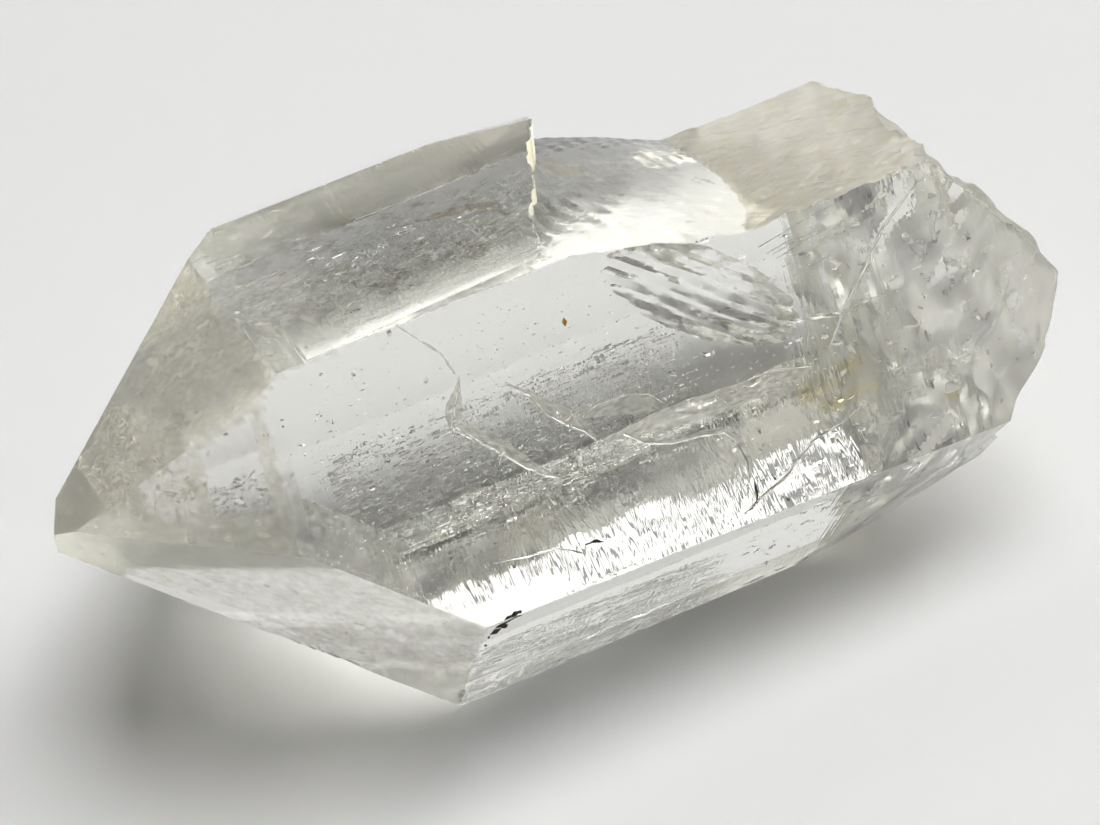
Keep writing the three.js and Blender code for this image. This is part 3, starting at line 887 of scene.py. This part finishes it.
me = crystal.data
kinds = np.array([p.material_index for p in me.polygons])
normals = np.array([p.normal[:] for p in me.polygons])
centres = np.array([p.center[:] for p in me.polygons])
LEVEL = {"growth": 0.02, "root": 0.36, "shoulder": 0.12, "spall": 0.16, "chip": 0.12, "pit": 0.05, "window": 0.05, "crack": 0.06, "speck": 0.04}
WARM = {"root": 0.7, "shoulder": 0.15, "chip": 0.2, "window": 0.2}
level = np.array([LEVEL[KINDS[k]] for k in kinds])
warm = np.array([WARM.get(KINDS[k], 0.0) for k in kinds])
prism = np.zeros(len(kinds))
for name in FACES:
    n, k = PLANES[name]
    on = (kinds == 0) & (normals @ n > 0.9995) & (np.abs(centres @ n - k) < 0.02)
    if name.startswith("m_"):
        prism[on] = 1.0
    elif name in ("r_top", "z_front"):
        level[on] = 0.17
        warm[on] = 0.8
    elif name == "r_front_low":
        level[on] = 0.10
        warm[on] = 0.45
    else:
        level[on] = 0.16
        warm[on] = 0.6
left_over = (kinds == 0) & (prism == 0) & (level < 0.05)
level[left_over] = 0.12
back = (kinds == KINDS.index("shoulder")) & (slope_b(centres[:, 0], centres[:, 1]) > slope_a(centres[:, 0], centres[:, 1]))
level[back] = 0.46
warm[back] = 1.0
wall = (kinds == KINDS.index("shoulder")) & (np.abs(normals[:, 2]) < 0.55)
level[wall] = 0.40
rusty = np.where(wall & (centres[:, 1] > -4.0), 1.0, np.where(back, 0.35, 0.0))
rusty[(kinds == KINDS.index("shoulder")) & ~back & (np.hypot(centres[:, 0] - 5.3, centres[:, 1] - 5.6) < 1.9)] = 0.8
me.attributes.new("frost", "FLOAT", "FACE").data.foreach_set("value", level)
me.attributes.new("warm", "FLOAT", "FACE").data.foreach_set("value", warm)
me.attributes.new("rusty", "FLOAT", "FACE").data.foreach_set("value", rusty)
me.attributes.new("prism", "FLOAT", "FACE").data.foreach_set("value", prism)
me.polygons.foreach_set("material_index", [0] * len(me.polygons))
me.materials.clear()
TO_CAD = Matrix.Scale(0.001, 4) @ Matrix.Translation(Vector(SHIFT))
me.transform(TO_CAD)
me.set_sharp_from_angle(angle=math.radians(22))
rounded = np.isin(kinds, [KINDS.index(k) for k in ("root", "shoulder", "spall")])
me.polygons.foreach_set("use_smooth", rounded)
me.update()
print("crystal faces", len(me.polygons))

# ------------------------------------------------------------------ quartz

quartz = bpy.data.materials.new("clear_quartz")
quartz.use_nodes = True
nt = quartz.node_tree
L = nt.links.new
shader = nt.nodes["Principled BSDF"]
shader.inputs["Transmission Weight"].default_value = 1.0
shader.inputs["IOR"].default_value = QUARTZ_IOR


def node(kind, **settings):
    nd = nt.nodes.new(kind)
    for key, value in settings.items():
        setattr(nd, key, value)
    return nd


def math_node(op, a, b=None):
    nd = node("ShaderNodeMath", operation=op)
    for i, v in enumerate((a, b)):
        if v is None:
            continue
        if isinstance(v, (int, float)):
            nd.inputs[i].default_value = v
        else:
            L(v, nd.inputs[i])
    return nd.outputs[0]


def ramp(value, start, end):
    """0 before `start`, 1 after `end`, smooth between (either way round)."""
    nd = node("ShaderNodeMapRange", interpolation_type="SMOOTHSTEP")
    L(value, nd.inputs["Value"])
    nd.inputs["From Min"].default_value, nd.inputs["From Max"].default_value = min(start, end), max(start, end)
    if start > end:
        nd.inputs["To Min"].default_value, nd.inputs["To Max"].default_value = 1.0, 0.0
    return nd.outputs["Result"]


place = node("ShaderNodeTexCoord")
split = node("ShaderNodeSeparateXYZ")
L(place.outputs["Object"], split.inputs[0])
at_x, at_y, at_z = split.outputs


def noise_tex(scale_xyz, detail, rough=0.5):
    mp = node("ShaderNodeMapping")
    mp.inputs["Scale"].default_value = scale_xyz
    L(place.outputs["Object"], mp.inputs["Vector"])
    nz = node("ShaderNodeTexNoise")
    nz.inputs["Scale"].default_value = 1.0
    nz.inputs["Detail"].default_value = detail
    nz.inputs["Roughness"].default_value = rough
    L(mp.outputs["Vector"], nz.inputs["Vector"])
    return nz.outputs["Fac"]


frost = node("ShaderNodeAttribute", attribute_name="frost").outputs["Fac"]
warmth = node("ShaderNodeAttribute", attribute_name="warm").outputs["Fac"]
prism_mask = node("ShaderNodeAttribute", attribute_name="prism").outputs["Fac"]
striae = noise_tex((3600, 130, 130), 0.0)
patch = noise_tex((140, 160, 160), 1.0)
swell = patch
mottle = noise_tex((620, 1000, 1000), 0.0)
# the etched lower back edge: both faces beside it
etched = math_node("MULTIPLY", math_node("MULTIPLY", ramp(at_z, 0.0062, 0.0042), ramp(at_y, 0.0098, 0.0112)),
                   math_node("MULTIPLY", ramp(at_x, -0.0200, -0.0150), ramp(at_x, 0.0190, 0.0140)))
etched = math_node("MULTIPLY", etched, prism_mask)
base_rough = math_node("MULTIPLY", frost, math_node("ADD", math_node("MULTIPLY", mottle, 1.0), 0.5))
etch_rough = math_node("MULTIPLY", etched, math_node("ADD", math_node("MULTIPLY", mottle, 0.55), -0.06))
L(math_node("MAXIMUM", base_rough, etch_rough), shader.inputs["Roughness"])
tint = node("ShaderNodeMix", data_type="RGBA")
L(math_node("MULTIPLY", warmth, math_node("ADD", math_node("MULTIPLY", mottle, 1.1), 0.35)), tint.inputs[0])
tint.inputs[6].default_value = (0.985, 0.988, 0.985, 1)
tint.inputs[7].default_value = (0.935, 0.905, 0.825, 1)
tint.clamp_factor = True
# painted shade: the base colour turns grey within about a millimetre of the floor along the lower back edge, where
# contact shade falls
contact_shade_mask = math_node("MULTIPLY", math_node("MULTIPLY", ramp(at_z, 0.0011, 0.0005), ramp(at_y, 0.0100, 0.0110)),
                 math_node("MULTIPLY", ramp(at_x, -0.0200, -0.0150), ramp(at_x, 0.0190, 0.0140)))
contact_shaded = node("ShaderNodeMix", data_type="RGBA")
L(math_node("MULTIPLY", contact_shade_mask, prism_mask), contact_shaded.inputs[0])
L(tint.outputs[2], contact_shaded.inputs[6])
contact_shaded.inputs[7].default_value = (0.60, 0.60, 0.575, 1)
rusted = node("ShaderNodeMix", data_type="RGBA")
L(math_node("MULTIPLY", node("ShaderNodeAttribute", attribute_name="rusty").outputs["Fac"], math_node("ADD", mottle, 0.1)), rusted.inputs[0])
L(contact_shaded.outputs[2], rusted.inputs[6])
rusted.inputs[7].default_value = (0.90, 0.74, 0.34, 1)
L(rusted.outputs[2], shader.inputs["Base Color"])
# heights in millimetres; the growth lines are deepest low on the back
comb = math_node("MULTIPLY", math_node("MULTIPLY", ramp(at_z, 0.0120, 0.0040), ramp(at_y, -0.0020, 0.0020)), ramp(at_x, -0.0170, -0.0120))
striae_h = math_node("MULTIPLY", math_node("MULTIPLY", striae, math_node("POWER", patch, 2.0)), math_node("MULTIPLY", prism_mask, math_node("ADD", math_node("MULTIPLY", comb, 0.09), 0.050)))
swell_h = math_node("MULTIPLY", swell, math_node("ADD", math_node("MULTIPLY", comb, 0.03), 0.03))
grit_h = math_node("MULTIPLY", math_node("MULTIPLY", mottle, 1.6), math_node("MULTIPLY", frost, 0.05))
etch_h = math_node("MULTIPLY", mottle, math_node("MULTIPLY", etched, 0.10))
height = math_node("ADD", math_node("ADD", striae_h, swell_h), math_node("ADD", grit_h, etch_h))
bump = node("ShaderNodeBump")
bump.inputs["Distance"].default_value = 0.001
bump.inputs["Strength"].default_value = 1.0
L(height, bump.inputs["Height"])
L(bump.outputs["Normal"], shader.inputs["Normal"])
absorb = node("ShaderNodeVolumeAbsorption")
absorb.inputs["Color"].default_value = (0.95, 0.942, 0.83, 1)
absorb.inputs["Density"].default_value = 8.0
L(absorb.outputs["Volume"], nt.nodes["Material Output"].inputs["Volume"])
me.materials.append(quartz)

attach(crystal, "root")
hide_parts("quartz_crystal")

# ------------------------------------------------------------------ what is sealed in the crystal


def sealed(name, shells, colour, coverage, stain=False, roughness=0.6):
    """One closed piece inside the crystal: a film of the given coverage, or a clear stain."""
    bm = bmesh.new()
    shells.to_bmesh(bm, inward=False)
    sm = bpy.data.meshes.new(name)
    bm.to_mesh(sm)
    bm.free()
    if len(sm.vertices) == len(shells.cover):
        sm.attributes.new("cover", "FLOAT", "POINT").data.foreach_set("value", shells.cover)
    sm.polygons.foreach_set("material_index", [0] * len(sm.polygons))
    sm.transform(TO_CAD)
    mat = bpy.data.materials.new(name)
    mat.use_nodes = True
    tree = mat.node_tree
    bsdf = tree.nodes["Principled BSDF"]
    coord = tree.nodes.new("ShaderNodeTexCoord")
    fleck = tree.nodes.new("ShaderNodeTexNoise")
    fleck.inputs["Scale"].default_value = 1500.0
    fleck.inputs["Detail"].default_value = 0.0
    tree.links.new(coord.outputs["Object"], fleck.inputs["Vector"])
    mix = tree.nodes.new("ShaderNodeMix")
    mix.data_type = "RGBA"
    mix.inputs[6].default_value = (*[c * 0.92 for c in colour], 1)
    mix.inputs[7].default_value = (*[min(1.0, c * 1.04) for c in colour], 1)
    tree.links.new(fleck.outputs["Fac"], mix.inputs[0])
    tree.links.new(mix.outputs[2], bsdf.inputs["Base Color"])
    bsdf.inputs["Roughness"].default_value = roughness
    bsdf.inputs["Specular IOR Level"].default_value = 0.0
    if stain:
        bsdf.inputs["Transmission Weight"].default_value = 1.0
        bsdf.inputs["IOR"].default_value = 1.0
        bsdf.inputs["Roughness"].default_value = 0.0
    cover = tree.nodes.new("ShaderNodeAttribute")
    cover.attribute_name = "cover"
    spread = tree.nodes.new("ShaderNodeMapRange")
    spread.inputs["From Min"].default_value, spread.inputs["From Max"].default_value = 0.3, 0.7
    spread.inputs["To Min"].default_value, spread.inputs["To Max"].default_value = coverage * 0.65, coverage * 1.35
    tree.links.new(fleck.outputs["Fac"], spread.inputs["Value"])
    times = tree.nodes.new("ShaderNodeMath")
    times.operation, times.use_clamp = "MULTIPLY", True
    tree.links.new(cover.outputs["Fac"], times.inputs[0])
    tree.links.new(spread.outputs["Result"], times.inputs[1])
    if coverage < 1:
        tree.links.new(times.outputs[0], bsdf.inputs["Alpha"])
    sm.materials.append(mat)
    ob = bpy.data.objects.new(name, sm)
    bpy.context.scene.collection.objects.link(ob)
    ob.visible_shadow = False  # the crystal round it already casts the shadow
    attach(ob, "root")
    return ob


for what, group in (("voids", voids), ("films", films), ("glint_flakes", glint_flakes), ("cloud", cloud), ("shade_veil", shade_veil), ("brown", brown),
                    ("yellow", yellow), ("dark", dark), ("rust", rust)):
    print(what, len(group.f), "left out", group.left_out)
sealed("healed_veil", films, (0.97, 0.955, 0.91), 0.42)
# white flakes: painted glints
sealed("painted_glint_flakes", glint_flakes, (0.985, 0.98, 0.96), 0.75)
sealed("milky_cloud", cloud, (0.985, 0.965, 0.90), 0.95)
# painted shade: dark mottled veil under the top face
sealed("painted_shade_veil", shade_veil, (0.34, 0.32, 0.25), 0.40)
sealed("brown_stain", brown, (0.45, 0.38, 0.28), 0.30)
sealed("yellow_stain", yellow, (1.0, 0.92, 0.66), 0.99, stain=True)
sealed("dark_inclusion", dark, (0.085, 0.08, 0.065), 1.0)
sealed("rust_speck", rust, (0.52, 0.30, 0.05), 1.0)

# ------------------------------------------------------------------ studio

bpy.data.materials.remove(scratch_material)
paper = bpy.data.materials.new("paper")
paper.use_nodes = True
ps = paper.node_tree.nodes["Principled BSDF"]
ps.inputs["Base Color"].default_value = (0.80, 0.80, 0.795, 1)
ps.inputs["Roughness"].default_value = 0.9
ps.inputs["Specular IOR Level"].default_value = 0.1
fm = bpy.data.meshes.new("floor")
fm.from_pydata([(-3, -3, 0), (3, -3, 0), (3, 3, 0), (-3, 3, 0)], [], [(0, 1, 2, 3)])
fm.materials.append(paper)
floor = bpy.data.objects.new("floor", fm)
bpy.context.scene.collection.objects.link(floor)
floor.location.z = -0.00002

world = bpy.data.worlds.new("studio")
bpy.context.scene.world = world
world.use_nodes = True
world.node_tree.nodes["Background"].inputs["Color"].default_value = (1.0, 1.0, 1.0, 1)
world.node_tree.nodes["Background"].inputs["Strength"].default_value = 0.107

MIDDLE = Vector((0.0, 0.0, 0.015))


def panel(name, azimuth, elevation, distance, wide, tall, radiance, colour=(1, 1, 1)):
    """Soft rectangular light, facing the crystal."""
    a, e = math.radians(azimuth), math.radians(elevation)
    out = Vector((math.cos(e) * math.cos(a), math.cos(e) * math.sin(a), math.sin(e)))
    light = bpy.data.lights.new(name, "AREA")
    light.shape = "RECTANGLE"
    light.size, light.size_y = wide, tall
    light.energy = radiance * math.pi * wide * tall
    light.color = colour
    ob = bpy.data.objects.new(name, light)
    at = MIDDLE + out * distance
    side = Vector((-math.sin(a), math.cos(a), 0))
    up = out.cross(side)
    ob.matrix_world = Matrix((
        (side.x, up.x, out.x, at.x),
        (side.y, up.y, out.y, at.y),
        (side.z, up.z, out.z, at.z),
        (0, 0, 0, 1)))
    ob.visible_camera = False
    bpy.context.scene.collection.objects.link(ob)
    return ob


panel("overhead", 335, 76, 1.3, 0.90, 1.00, 5.25)
panel("right_high", 0, 55, 1.3, 0.55, 0.40, 2.57)
panel("right_back", 62, 47, 1.3, 1.05, 0.28, 1.28)
panel("right_back_low", 62, 34, 1.3, 1.05, 0.30, 0.30)
panel("horizon", 60, 6, 1.5, 2.6, 0.28, 0.86)

cam = bpy.data.cameras.new("camera")
cam.sensor_width = 36.0
cam.lens = CAMERA_FOCAL / 1100 * 36
cam.clip_end = 20
camera = bpy.data.objects.new("camera", cam)
r, d, f = CAMERA_AXES
at = (CAMERA_AT + SHIFT) * 0.001
camera.matrix_world = Matrix((
    (r[0], -d[0], -f[0], at[0]),
    (r[1], -d[1], -f[1], at[1]),
    (r[2], -d[2], -f[2], at[2]),
    (0, 0, 0, 1)))
bpy.context.scene.collection.objects.link(camera)
sc = bpy.context.scene
sc.camera = camera
sc.view_settings.view_transform = "Standard"
c = sc.cycles
c.max_bounces = 12
c.transmission_bounces = 12
c.glossy_bounces = 8
c.diffuse_bounces = 3
c.transparent_max_bounces = 12
c.blur_glossy = 0.0
c.caustics_refractive = True
c.caustics_reflective = True
c.use_denoising = True
c.use_adaptive_sampling = True
c.adaptive_threshold = 0.8
c.adaptive_min_samples = 4
